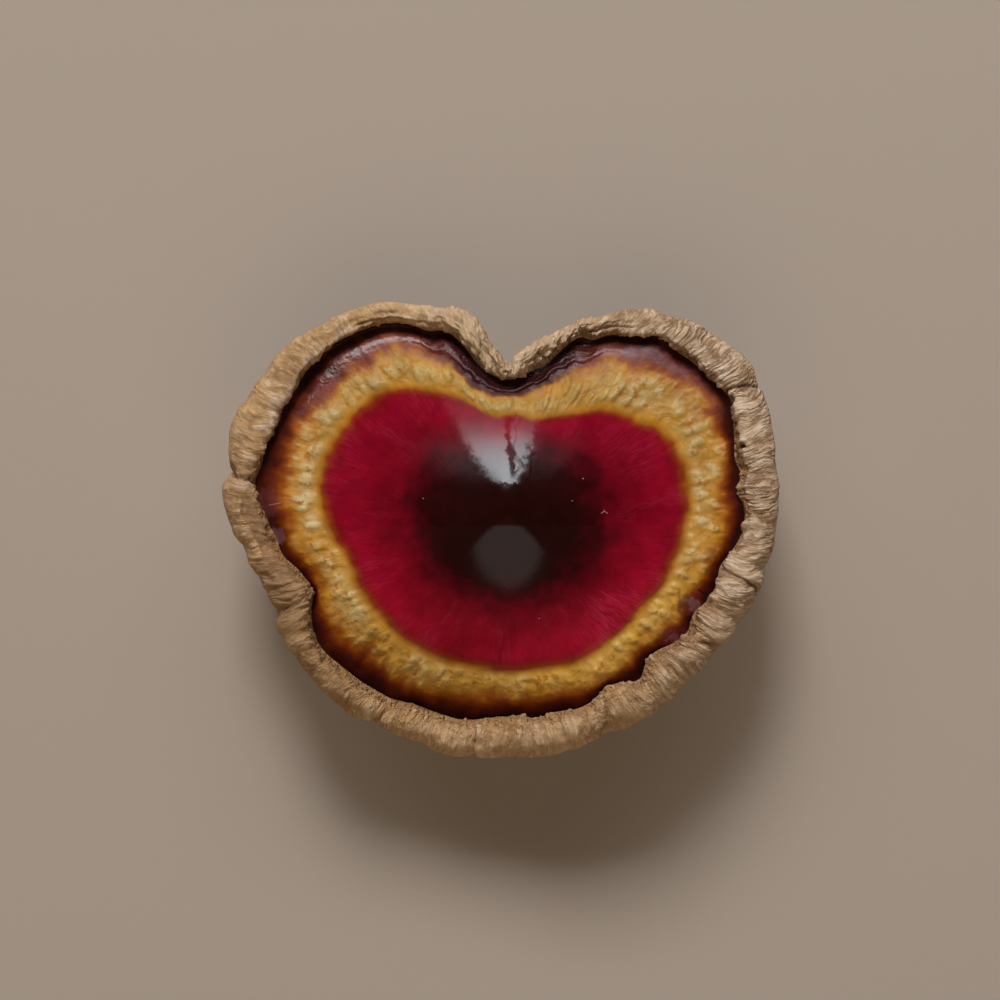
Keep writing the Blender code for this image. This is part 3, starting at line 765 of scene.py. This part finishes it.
def lacquer_material(creases, mottled):
    """The lacquered top: near-black crown, crimson, blistered gold, and maroon out to the lip."""
    material, n, shader = new_material("reishi_lacquer")
    band = n.attribute("band").outputs["Fac"]
    strip = n.attribute("strip").outputs["Vector"]
    place = n.add("ShaderNodeTexCoord").outputs["Object"]

    # The edges of the bands are fringed in rays, most of all the gold's outer one.
    flames = n.maths("SUBTRACT", n.grain(n.scaled(strip, (280.0, 280.0, 130.0)), 1.0, 2.0), 0.5)
    tongues = n.maths("SUBTRACT", n.grain(n.scaled(strip, (110.0, 110.0, 100.0)), 1.0, 2.0), 0.5)
    cloud = n.maths("SUBTRACT", n.grain(place, 190.0, 2.5, 0.55), 0.5)
    reach = n.total(n.between(band, 1.3, 1.9, 0.05, 0.12), n.between(band, 2.4, 3.1, 0.0, 0.6))
    cloudy = n.total(n.between(band, 0.9, 1.8, 0.5, 0.1), n.between(band, 2.3, 3.1, 0.0, 0.9))
    off_notch = n.maths("ABSOLUTE", n.maths("SUBTRACT", n.parts(place)[0], 0.002))
    reach = n.product(reach, n.between(off_notch, 0.012, 0.035, 0.15, 1.0))
    moved = n.total(band, n.product(n.total(flames, tongues), reach), n.product(cloud, cloudy))
    colour = n.ramp(
        n.maths("DIVIDE", moved, 4.5),
        [(at / 4.5, shade) for at, shade in (
            (0.0, (0.016, 0.0032, 0.0024)), (0.6, (0.017, 0.003, 0.0024)), (0.8, (0.029, 0.0026, 0.003)),
            (0.96, (0.07, 0.0026, 0.0055)), (1.15, (0.16, 0.0028, 0.009)), (1.45, (0.27, 0.0034, 0.0145)),
            (1.78, (0.36, 0.0045, 0.022)), (1.9, (0.3, 0.009, 0.015)), (1.98, (0.25, 0.04, 0.008)),
            (2.06, (0.36, 0.13, 0.013)), (2.17, (0.5, 0.225, 0.022)), (2.36, (0.56, 0.305, 0.055)),
            (2.58, (0.55, 0.29, 0.048)), (2.76, (0.51, 0.225, 0.018)), (2.94, (0.4, 0.13, 0.009)),
            (3.12, (0.27, 0.064, 0.005)), (3.32, (0.17, 0.03, 0.004)), (3.55, (0.1, 0.014, 0.004)),
            (3.8, (0.055, 0.008, 0.004)), (4.1, (0.025, 0.005, 0.004)),
        )],
    )

    # Soft blisters in the gold: cream tops, amber where the lacquer lies thick between them; the cream and amber are
    # partly painted light on the tops and painted shade in the hollows.
    bubbles = n.add("ShaderNodeTexVoronoi", feature="SMOOTH_F1")
    n.put(bubbles.inputs["Vector"], n.scaled(strip, (270.0, 270.0, 200.0)))
    bubbles.inputs["Scale"].default_value = 1.0
    bubbles.inputs["Smoothness"].default_value = 0.6
    puffed = n.product(n.between(bubbles.outputs["Distance"], 0.72, 0.1), 0.5)
    swell = n.maths("ADD", n.product(n.grain(place, 330.0, 1.5, 0.4), 0.6), puffed)
    tops = n.between(swell, 0.36, 0.74)
    wrinkled = n.group(creases, Vector=n.scaled(place, (290.0, 290.0, 290.0), (2.0, 6.0, 1.0)), Width=0.025, Waver=1.0)
    gold = n.product(n.between(moved, 2.0, 2.4), n.between(moved, 3.15, 2.5))
    patchy = n.between(n.grain(place, 130.0, 3.0, 0.6), 0.36, 0.6)
    colour = n.tint(n.product(gold, n.between(tops, 0.5, 0.0), 0.6), colour, (0.46, 0.19, 0.018))
    cream_and_painted_light = n.product(patchy, n.between(tops, 0.1, 0.9, 0.35, 0.8))
    colour = n.tint(n.product(gold, cream_and_painted_light), colour, (0.63, 0.465, 0.205))
    creamy = n.product(n.between(tops, 0.2, 0.8), n.between(n.parts(place)[1], -0.02, 0.005), n.between(off_notch, 0.02, 0.035))
    creamy = n.product(creamy, n.between(moved, 2.15, 2.4), n.between(moved, 3.0, 2.6))
    colour = n.tint(n.product(creamy, 0.5), colour, (0.66, 0.52, 0.28))
    # Orange on the gold's lower right: partly its own colour, partly painted light where the top slopes away from the
    # lamps.
    amber = n.between(n.maths("SUBTRACT", n.product(n.parts(place)[0], 0.35), n.parts(place)[1]), 0.012, 0.05)
    colour = n.tint(n.product(gold, amber, 0.6), colour, (0.78, 0.42, 0.06))
    # Painted shade: the gold is darkened on the side of the notch, where it faces the lamps.
    colour = n.tint(n.product(gold, n.between(n.parts(place)[1], 0.0, 0.035), 0.5), colour, (0.38, 0.21, 0.035))
    colour = n.tint(n.product(gold, wrinkled["Line"], 0.2), colour, (0.36, 0.17, 0.03))
    dots = n.grain(n.scaled(place, (560.0, 560.0, 560.0), (2.0, 0.0, 4.0)), 1.0, 1.0)
    colour = n.tint(n.product(gold, n.between(dots, 0.6, 0.67), 0.7), colour, (0.42, 0.14, 0.012))

    # Fine radial wrinkles: dark lines in the red, and near its outer edge, in patches, pinkish painted highlights on
    # the wrinkles' crests.
    rays = n.group(creases, Vector=n.scaled(strip, (520.0, 520.0, 75.0)), Width=0.035, Waver=0.35)
    hairs = n.group(creases, Vector=n.scaled(strip, (1250.0, 1250.0, 190.0)), Width=0.05, Waver=0.3)
    red = n.product(n.between(moved, 1.0, 1.5), n.between(moved, 2.02, 1.93))
    glint_and_wrinkle_patches = n.between(n.grain(n.scaled(strip, (75.0, 75.0, 85.0), (9.0, 2.0, 4.0)), 1.0, 3.0, 0.6), 0.5, 0.66)
    colour = n.tint(n.product(red, rays["Line"], 0.28), colour, (0.12, 0.001, 0.005))
    painted_glints = n.total(n.product(glint_and_wrinkle_patches, 0.3), n.product(n.spot(place, (33.0, -27.0), 17.0, 12.0), 0.35))
    painted_glints = n.total(painted_glints, n.product(n.spot(place, (30.0, 20.0), 11.0, 12.0), 0.25))
    painted_glints = n.total(painted_glints, n.product(n.spot(place, (-47.0, 18.0), 14.0, 14.0), 0.22))
    colour = n.tint(n.product(red, painted_glints, hairs["Swelling"]), colour, (0.48, 0.03, 0.075))
    deeper = n.product(n.between(moved, 0.9, 1.4), n.between(moved, 2.05, 1.85), n.between(n.parts(place)[1], -0.02, 0.005))
    colour = n.tint(n.product(deeper, 0.38), colour, (0.075, 0.0015, 0.006))
    colour = n.group(mottled, Color=colour, Vector=n.scaled(place, (160.0, 160.0, 160.0)), Strength=1.0)["Color"]

    # At the notch the gutter is near black, partly the dark lacquer and partly painted shade under the rim; on both
    # sides of it a violet painted sheen, standing for a reflection, lies over the brown.
    x, y = n.parts(place)[0], n.parts(place)[1]
    at_notch = n.product(n.between(off_notch, 0.024, 0.012), n.between(y, 0.024, 0.03), n.between(moved, 2.85, 3.15))
    colour = n.tint(n.product(at_notch, 0.85), colour, (0.03, 0.007, 0.01))
    painted_sheen = n.product(n.between(n.grain(place, 300.0, 5.0, 0.75), 0.4, 0.62), n.between(y, 0.024, 0.034))
    painted_sheen = n.product(painted_sheen, n.between(moved, 2.9, 3.3), n.between(moved, 3.9, 3.5), n.between(off_notch, 0.058, 0.045))
    painted_sheen = n.product(painted_sheen, n.between(off_notch, 0.008, 0.02))
    colour = n.tint(n.product(painted_sheen, 0.4), colour, (0.27, 0.1, 0.105))

    # Bare, bruised patches near the lip, the small lighter violet spots in them being painted glossy highlights, and a
    # few specks of pale dust.
    for centre, size, shade, amount in (
        ((46.8, -18.6), 4.4, (0.15, 0.02, 0.018), 0.75), ((47.5, -19.0), 2.4, (0.27, 0.13, 0.13), 0.6),
        ((42.6, -27.2), 4.2, (0.15, 0.02, 0.02), 0.75), ((42.4, -26.8), 2.2, (0.26, 0.12, 0.12), 0.5),
        ((-60.5, 7.0), 4.4, (0.16, 0.04, 0.04), 0.45), ((-57.8, -1.5), 2.8, (0.24, 0.11, 0.13), 0.4),
    ):
        colour = n.tint(n.product(n.spot(place, centre, size, 5.0), amount), colour, shade)
    for centre, size in (((19.6, 13.0), 0.22), ((16.8, 7.4), 0.2), ((-20.5, 8.0), 0.2), ((8.5, -22.0), 0.2)):
        colour = n.tint(n.product(n.spot(place, centre, size), 0.7), colour, (0.4, 0.33, 0.27))
    # A fibre with a fork, a short crack at the lower right and a fine scratch at the left.
    for start, end, width, shade, amount in (
        ((24.1, 4.3), (24.9, 4.8), 0.11, (0.45, 0.34, 0.27), 0.65),
        ((24.9, 4.8), (25.7, 4.25), 0.11, (0.45, 0.34, 0.27), 0.65),
        ((24.9, 4.8), (24.8, 5.25), 0.09, (0.45, 0.34, 0.27), 0.5),
        ((48.4, -14.8), (52.4, -17.4), 0.2, (0.02, 0.004, 0.004), 0.85),
        ((-59.8, 6.3), (-56.6, 6.9), 0.13, (0.6, 0.4, 0.38), 0.38),
    ):
        colour = n.tint(n.product(n.stroke(place, start, end, width), amount), colour, shade)
    n.put(shader.inputs["Base Color"], colour)

    # Glossy on the crown, waxy further out, and wet again in the gutter on the side of the notch.
    worn_gloss = n.product(n.maths("SUBTRACT", n.grain(place, 420.0, 4.0, 0.65), 0.5), n.between(band, 0.5, 2.0, 0.04, 0.14))
    wet = n.product(n.between(y, 0.024, 0.034), n.between(band, 3.05, 3.4), n.between(x, 0.045, 0.015, 0.3, 1.0))
    dull = n.total(n.between(band, 0.5, 1.6, 0.11, 0.15), n.between(band, 1.9, 2.4, 0.0, 0.27), n.between(band, 2.9, 3.4, 0.0, 0.1))
    dull = n.total(dull, worn_gloss, n.product(wet, -0.34))
    n.put(shader.inputs["Roughness"], dull)
    shine = n.total(n.between(band, 0.8, 1.9, 0.5, 0.2), n.between(band, 2.8, 3.3, 0.0, -0.15), n.product(wet, 0.4))
    # The gloss is rubbed off beside a wedge that runs from the crown to the notch, and across the crown. A shallow,
    # wandering furrow splits the wedge, with a few short ones beside it.
    uneven = n.product(n.maths("SUBTRACT", n.grain(place, 700.0, 4.0, 0.65), 0.5), 0.006)
    from_middle = n.maths("ABSOLUTE", n.total(x, n.product(y, 0.15), -0.0017))
    wedge = n.total(n.product(y, 0.46), -0.0016, uneven)
    beside_wedge = n.between(n.maths("SUBTRACT", from_middle, wedge), -0.0028, 0.0018)
    rubbed = n.product(beside_wedge, n.between(y, 0.0095, 0.0115))
    low_on_crown = n.between(n.maths("ADD", y, uneven), 0.0115, 0.0125, 1.0, 0.0)
    rubbed = n.maths("MAXIMUM", rubbed, n.product(low_on_crown, n.between(y, 0.0005, 0.0019)))
    line = n.maths("SUBTRACT", x, n.maths("ADD", n.product(y, -0.1), 0.0034))
    line = n.total(line, n.product(n.maths("SUBTRACT", n.grain(place, 330.0, 3.0, 0.6), 0.5), 0.0034))
    furrow = n.product(n.between(n.maths("ABSOLUTE", line), 0.0013, 0.0), n.between(y, 0.011, 0.015))
    beside = n.group(creases, Vector=n.scaled(place, (260.0, 110.0, 200.0), (4.0, 1.6, 0.0)), Width=0.07, Waver=0.6)
    near = n.product(n.between(line, -0.0015, 0.001), n.between(line, 0.0068, 0.0045), n.between(y, 0.012, 0.016))
    furrows = n.total(furrow, n.product(beside["Line"], near, 0.6))
    rubbed = n.maths("MAXIMUM", rubbed, n.product(furrows, 0.85))
    rubbed = n.product(rubbed, n.between(band, 2.3, 1.9))
    fading = n.product(n.between(y, 0.014, 0.031), n.between(band, 2.4, 2.0), -0.85)
    shine = n.product(shine, n.between(rubbed, 0.0, 1.0, 1.0, 0.1), n.maths("ADD", fading, 1.0))
    n.put(shader.inputs["Specular IOR Level"], shine)

    blisters = n.product(n.total(swell, n.product(wrinkled["Swelling"], 0.06)), gold, 0.0012)
    close = n.total(n.between(off_notch, 0.027, 0.014, 0.1, 0.9))
    ripple = n.product(n.between(moved, 3.2, 3.4), n.between(moved, 3.75, 3.45), wet, close, 0.0007)
    grit = n.product(n.grain(place, 900.0, 3.0, 0.7), wet, n.total(close, 0.2), 0.00035)
    ray_depth = n.total(n.between(band, 0.3, 1.2, 0.0000006, 0.000004), n.product(glint_and_wrinkle_patches, red, 0.00001))
    ray_depth = n.total(ray_depth, n.between(band, 2.0, 3.2, 0.0, 0.00001))
    hair_depth = n.total(n.between(band, 0.3, 1.8, 0.0000004, 0.000003), n.product(glint_and_wrinkle_patches, red, 0.000005))
    skin = n.product(n.grain(place, 1300.0, 3.0), n.between(band, 1.9, 3.2, 0.0000035, 0.00007))
    soft_skin = n.product(n.grain(place, 260.0, 2.0), n.between(band, 0.8, 2.0, 0.000012, 0.00008))
    height = n.total(
        blisters, skin, soft_skin, n.product(rays["Swelling"], ray_depth), n.product(hairs["Swelling"], hair_depth),
        n.product(furrows, -0.00005), ripple, grit,
    )
    n.bump(height, shader)
    return material


def rim_material(creases, mottled):
    """The rolled margin: buff to tan skin, crossed by fine folds, ochre and crumbly at the lip."""
    material, n, shader = new_material("reishi_rim")
    strip = n.attribute("strip").outputs["Vector"]
    relief = n.attribute("relief").outputs["Fac"]
    seam = n.attribute("seam").outputs["Fac"]
    place = n.add("ShaderNodeTexCoord").outputs["Object"]
    across = n.parts(strip)[2]
    east = n.parts(place)[0]

    # Thin cracks that cross the rim, in groups, and the flakes between them.
    shaken = n.add("ShaderNodeVectorMath", operation="SCALE")
    shake = n.add("ShaderNodeTexNoise")
    n.put(shake.inputs["Vector"], n.scaled(strip, (260.0, 260.0, 200.0)))
    shake.inputs["Detail"].default_value = 3.0
    n.put(shaken.inputs[0], shake.outputs["Color"])
    shaken.inputs["Scale"].default_value = 0.55
    moved = n.add("ShaderNodeVectorMath", operation="ADD")
    n.put(moved.inputs[0], n.scaled(strip, (620.0, 620.0, 95.0)))
    n.put(moved.inputs[1], shaken.outputs[0])
    cells = n.add("ShaderNodeTexVoronoi", feature="DISTANCE_TO_EDGE")
    n.put(cells.inputs["Vector"], moved.outputs[0])
    cells.inputs["Scale"].default_value = 1.0
    north = n.parts(place)[1]
    folded = n.between(n.maths("SUBTRACT", east, n.product(north, 0.8)), -0.07, -0.02, 0.3, 1.0)
    folded = n.product(folded, n.between(north, -0.045, -0.015, 0.7, 1.0))
    groups = n.between(n.grain(n.scaled(strip, (85.0, 85.0, 70.0), (0.0, 7.0, 3.0)), 1.0, 3.0, 0.6), 0.42, 0.58)
    groups = n.product(groups, folded)
    edge = cells.outputs["Distance"]
    cracks = n.product(n.between(edge, 0.2, 0.0), n.total(n.product(groups, 0.75), 0.25))
    flakes = n.grain(n.scaled(strip, (560.0, 560.0, 260.0), (1.0, 4.0, 2.0)), 1.0, 5.0, 0.66, 0.5)
    folds_fine = n.group(creases, Vector=n.scaled(strip, (850.0, 850.0, 170.0)), Width=0.07, Waver=0.8)
    crumbly = n.grain(place, 700.0, 4.0, 0.7)

    colour = n.ramp(
        n.grain(n.scaled(strip, (150.0, 150.0, 90.0)), 1.0, 4.0, 0.62),
        [(0.3, (0.42, 0.25, 0.122)), (0.46, (0.6, 0.4, 0.225)), (0.66, (0.72, 0.515, 0.33))],
    )
    colour = n.tint(n.product(n.between(east, 0.02, -0.05), 0.75), colour, (0.53, 0.3, 0.115))
    colour = n.tint(n.product(n.between(east, 0.015, 0.06), 0.35), colour, (0.66, 0.49, 0.35))
    colour = n.tint(n.product(n.between(flakes, 0.52, 0.66), 0.45), colour, (0.82, 0.63, 0.45))
    colour = n.tint(n.product(n.between(flakes, 0.46, 0.34), 0.35), colour, (0.3, 0.17, 0.085))
    # Painted light and shade: raised skin is lightened and its hollows darkened.
    colour = n.tint(n.product(n.between(relief, 0.05, 0.55), 0.55), colour, (0.79, 0.62, 0.46))
    colour = n.tint(n.product(n.between(relief, -0.02, -0.45), 0.7), colour, (0.26, 0.135, 0.062))
    colour = n.tint(n.product(cracks, 0.8), colour, (0.19, 0.09, 0.036))
    colour = n.tint(n.product(folds_fine["Line"], n.between(groups, 0.9, 0.2, 0.2, 1.0), 0.36), colour, (0.25, 0.13, 0.055))
    # Darker along cracks, torn layer edges and the knobs' pits: the cracks' own dark, with painted shade in the steps
    # and pits.
    colour = n.tint(n.product(n.between(seam, 0.25, 0.9), 0.75), colour, (0.13, 0.06, 0.025))
    # Painted light: the rim beside the notch is lightened, where the roll turns away from the lamps.
    beside_notch = n.product(n.between(n.maths("ABSOLUTE", east), 0.035, 0.01), n.between(north, 0.03, 0.04))
    colour = n.tint(n.product(beside_notch, 0.5), colour, (0.74, 0.53, 0.33))
    colour = n.tint(n.product(n.between(north, -0.02, -0.05), 0.35), colour, (0.62, 0.38, 0.18))

    # Painted shade: browner patches on the rim's left and lower left, where its top tilts away from the lamps.
    for centre, size, amount in (((-50.0, -16.0), 15.0, 0.55), ((-43.0, -35.0), 15.0, 0.5), ((-66.0, 8.0), 14.0, 0.25)):
        colour = n.tint(n.product(n.spot(place, centre, size, 6.0), amount), colour, (0.27, 0.15, 0.07))

    # The lip's inner side is stained orange-brown; the outer side's lower half is darker orange-brown, partly stain and
    # partly painted shade where it faces down.
    crumbs = n.between(n.grain(place, 520.0, 3.0, 0.65), 0.35, 0.65)
    lip = n.between(across, 0.0655, 0.0625)
    south_lip = n.product(n.between(across, 0.0695, 0.0645), n.between(north, -0.01, -0.035))
    lip = n.maths("MAXIMUM", lip, south_lip)
    colour = n.tint(n.product(lip, n.total(n.product(crumbs, 0.5), 0.2)), colour, (0.39, 0.18, 0.052))
    belly = n.between(across, 0.0725, 0.0765)
    colour = n.tint(n.product(belly, 0.45), colour, (0.4, 0.21, 0.085))
    stains = n.between(n.grain(n.scaled(strip, (240.0, 240.0, 110.0), (8.0, 3.0, 1.0)), 1.0, 4.0, 0.65), 0.58, 0.7)
    colour = n.tint(n.product(stains, 0.4), colour, (0.27, 0.13, 0.05))
    colour = n.group(mottled, Color=colour, Vector=n.scaled(place, (900.0, 900.0, 900.0)), Strength=0.5)["Color"]
    n.put(shader.inputs["Base Color"], colour)
    shader.inputs["Roughness"].default_value = 0.75
    shader.inputs["Specular IOR Level"].default_value = 0.25

    height = n.total(
        n.product(n.between(edge, 0.0, 0.3), groups, 0.0003), n.product(folds_fine["Swelling"], folded, 0.00016),
        n.product(flakes, 0.00045), n.product(crumbs, lip, 0.0006), n.product(crumbly, 0.00022),
    )
    n.bump(height, shader)
    return material


def pore_material(mottled):
    """The underside: pale brown, and full of fine pores."""
    material, n, shader = new_material("reishi_pores")
    place = n.add("ShaderNodeTexCoord").outputs["Object"]
    pores = n.add("ShaderNodeTexVoronoi", feature="F1")
    n.put(pores.inputs["Vector"], place)
    pores.inputs["Scale"].default_value = 2600.0
    dots = n.between(pores.outputs["Distance"], 0.42, 0.2)
    patches = n.grain(place, 45.0, 4.0, 0.6)
    colour = n.ramp(patches, [(0.3, (0.3, 0.2, 0.11)), (0.5, (0.45, 0.34, 0.21)), (0.7, (0.58, 0.47, 0.31))])
    colour = n.tint(n.product(dots, 0.5), colour, (0.2, 0.12, 0.06))
    colour = n.group(mottled, Color=colour, Vector=n.scaled(place, (300.0, 300.0, 300.0)), Strength=0.4)["Color"]
    n.put(shader.inputs["Base Color"], colour)
    shader.inputs["Roughness"].default_value = 0.85
    shader.inputs["Specular IOR Level"].default_value = 0.2
    n.bump(n.product(dots, -0.00012), shader)
    return material


def stem_material(creases, mottled):
    """The stem: dark lacquer like the crown's, with corky flesh where it was cut."""
    material, n, shader = new_material("reishi_stem")
    place = n.add("ShaderNodeTexCoord").outputs["Object"]
    relief = n.attribute("relief").outputs["Fac"]
    patches = n.grain(n.scaled(place, (120.0, 120.0, 60.0)), 1.0, 4.0, 0.6)
    colour = n.ramp(
        patches, [(0.3, (0.03, 0.006, 0.004)), (0.5, (0.075, 0.016, 0.009)), (0.72, (0.16, 0.045, 0.02))]
    )
    # Painted shade: darker where the stem's relief sinks in.
    colour = n.tint(n.product(n.between(relief, 0.0, -0.3), 0.5), colour, (0.02, 0.004, 0.003))
    fibres = n.group(creases, Vector=n.scaled(place, (600.0, 600.0, 90.0)), Width=0.05, Waver=0.4)
    colour = n.group(mottled, Color=colour, Vector=n.scaled(place, (260.0, 260.0, 90.0)), Strength=0.8)["Color"]
    cut = n.between(n.parts(place)[2], 0.0006, 0.0001)
    cork = n.ramp(n.grain(place, 900.0, 3.0, 0.6), [(0.3, (0.22, 0.12, 0.06)), (0.6, (0.42, 0.27, 0.15))])
    n.put(shader.inputs["Base Color"], n.mix(cut, colour, cork))
    n.put(shader.inputs["Roughness"], n.between(cut, 0.0, 1.0, 0.3, 0.85))
    n.bump(n.product(fibres["Swelling"], 0.00012), shader)
    return material


def build_stage():
    """A pale paper floor, one wide window-like light from the notch side, a weak one overhead and a soft fill."""
    deselect_all()
    bpy.ops.mesh.primitive_plane_add(size=6.0)
    floor = bpy.context.active_object
    floor.name = "floor"
    material, n, shader = new_material("paper")
    shader.inputs["Base Color"].default_value = (0.455, 0.376, 0.305, 1.0)
    shader.inputs["Roughness"].default_value = 0.9
    shader.inputs["Specular IOR Level"].default_value = 0.1
    floor.data.materials.append(material)

    def area_light(name, size, lift, turned, power, colour, shape="RECTANGLE", reach=1.25):
        """A light of a size, in metres, seen from the cap at a height and a direction, in degrees."""
        light = bpy.data.lights.new(name, "AREA")
        light.shape, light.energy, light.color = shape, power, colour
        light.size, light.size_y = size
        lamp = bpy.data.objects.new(name, light)
        bpy.context.scene.collection.objects.link(lamp)
        lift, turned = math.radians(lift), math.radians(turned)
        level = math.cos(lift)
        aim = np.array([level * math.cos(turned), level * math.sin(turned), math.sin(lift)])
        lamp.location = aim * reach + np.array([0.0, 0.0, 0.03])
        lamp.rotation_euler = (math.pi / 2 - lift, 0.0, turned + math.pi / 2)
        return lamp

    day = area_light("daylight", (0.8, 0.76), 37.0, 98.0, 46.0, (0.94, 0.96, 1.0), reach=2.5)
    sky = area_light("sky", (4.0, 0.76), 37.0, 95.0, 27.0, (0.94, 0.96, 1.0), reach=2.5)
    window = area_light("window", (0.95, 0.4), 44.0, 91.5, 10.6, (0.92, 0.96, 1.0))
    overhead = area_light("overhead", (0.42, 0.56), 82.5, -87.0, 0.3, (1.0, 0.92, 0.82), "ELLIPSE")
    fill = area_light("fill", (3.0, 2.0), 44.0, -90.0, 16.5, (1.0, 0.82, 0.62), reach=2.2)
    day.visible_glossy = sky.visible_glossy = fill.visible_glossy = False
    window.visible_diffuse = overhead.visible_diffuse = False
    world = bpy.data.worlds.new("room")
    bpy.context.scene.world = world
    world.use_nodes = True
    world.node_tree.nodes["Background"].inputs["Color"].default_value = (1.0, 0.9, 0.8, 1.0)
    world.node_tree.nodes["Background"].inputs["Strength"].default_value = 0.02
    bpy.context.scene.view_settings.view_transform = "Standard"


def build_camera():
    """Straight down, with the notch at the top of the picture."""
    camera = bpy.data.cameras.new("above")
    camera.lens, camera.sensor_width = 85.0, 36.0
    view = bpy.data.objects.new("above", camera)
    bpy.context.scene.collection.objects.link(view)
    view.location = (-1.26 * MM, 7.6 * MM, 629 * MM)
    bpy.context.scene.camera = view


build_camera()
creases, mottled = creases_group(), mottled_group()
cap = build_cap(creases, mottled)
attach(cap, "root")
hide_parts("cap")
stem = build_stem(creases, mottled)
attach(stem, "root")
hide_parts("stem")
build_stage()
